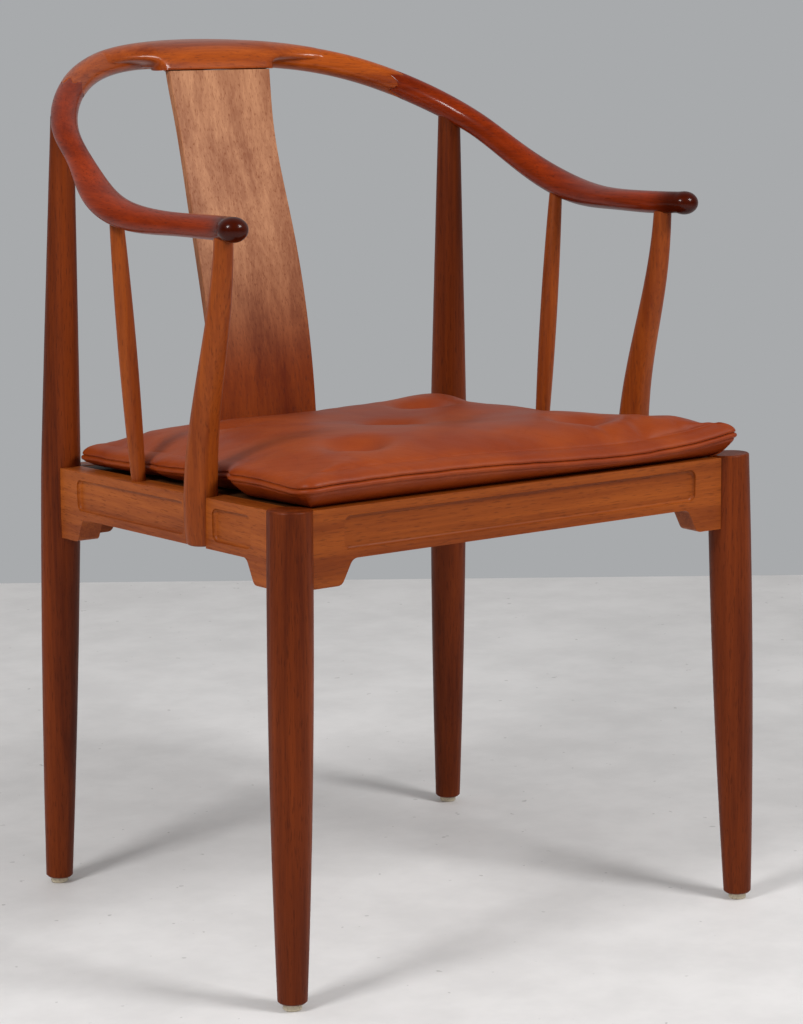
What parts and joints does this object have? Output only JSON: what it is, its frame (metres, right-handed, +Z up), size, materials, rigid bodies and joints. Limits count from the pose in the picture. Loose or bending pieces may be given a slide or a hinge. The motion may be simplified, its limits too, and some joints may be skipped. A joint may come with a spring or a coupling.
{
  "type": "horseshoe back armchair",
  "caption": "Hardwood armchair with a scarf-jointed horseshoe back and arm rail, bent back splat, panelled bracket rails, turned legs and a loose tufted leather cushion.",
  "frame": {"origin": "on the floor, under the middle of the chair's plan", "axes": "+Z up; the sitter faces -Y; +X to the right seen from the front"},
  "size_m": [0.5448, 0.5655, 0.805],
  "materials": {
    "crest_wood": "oiled, satin, warm orange brown",
    "arm_wood": "oiled, satin, red brown",
    "splat_wood": "oiled, satin, straight grain up the splat",
    "leg_wood": "oiled, satin, dark red brown",
    "rail_wood": "oiled, satin, red brown",
    "post_wood": "oiled, satin, red brown",
    "board_wood": "plain plywood",
    "block_wood": "plain sawn wood",
    "screw_steel": "zinc plated",
    "cushion_leather": "waxed natural leather, creased",
    "glide_plastic": "translucent beige"
  },
  "bodies": {
    "frame": {"crest_rail": "crest_wood", "left_arm": "arm_wood", "right_arm": "arm_wood", "back_splat": "splat_wood", "front_left_leg": "leg_wood", "front_right_leg": "leg_wood", "rear_left_leg": "leg_wood", "rear_right_leg": "leg_wood", "front_rail": "rail_wood", "rear_rail": "rail_wood", "left_side_rail": "rail_wood", "right_side_rail": "rail_wood", "left_arm_post": "post_wood", "right_arm_post": "post_wood", "left_spindle": "post_wood", "right_spindle": "post_wood", "seat_board": "board_wood", "front_left_corner_block": "block_wood", "front_right_corner_block": "block_wood", "rear_left_corner_block": "block_wood", "rear_right_corner_block": "block_wood", "left_ledge": "block_wood", "right_ledge": "block_wood", "seat_screws": "screw_steel", "front_left_glide": "glide_plastic", "front_right_glide": "glide_plastic", "rear_left_glide": "glide_plastic", "rear_right_glide": "glide_plastic", "glide_nails": "screw_steel"},
    "cushion": {"seat_cushion": "cushion_leather"}
  },
  "joints": [
    {"name": "cushion_lift", "type": "slide", "parent": "frame", "child": "cushion", "axis": [0, 0, 1], "range_m": [0, 0.1]}
  ]
}
